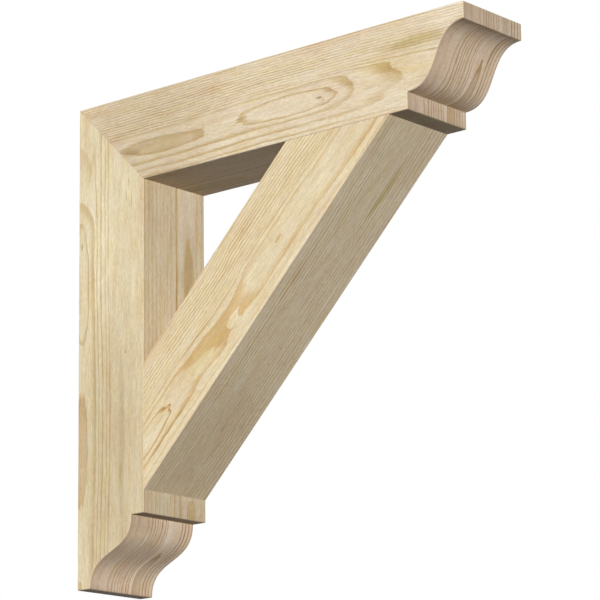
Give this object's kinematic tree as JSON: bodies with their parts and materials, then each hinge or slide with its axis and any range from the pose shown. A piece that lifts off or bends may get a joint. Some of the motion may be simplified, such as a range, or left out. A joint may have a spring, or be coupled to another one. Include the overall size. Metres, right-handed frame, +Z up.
{
  "type": "wooden corbel bracket",
  "caption": "Timber knee-brace bracket: a wall post and a top beam mitred at the corner, stepped ogee ends and a diagonal brace, to carry an eave, shelf or canopy.",
  "frame": {"origin": "centre of the post's wall face, the flat back that lies against the wall", "axes": "+X away from the wall along the beam, +Y across the bracket, +Z up the post; the bracket is mirror-symmetric about Y = 0"},
  "size_m": [0.5588, 0.1016, 0.5588],
  "materials": {
    "softwood": "satin"
  },
  "bodies": {
    "root": {"wall_post": "softwood", "top_beam": "softwood", "diagonal_brace": "softwood"}
  },
  "joints": []
}
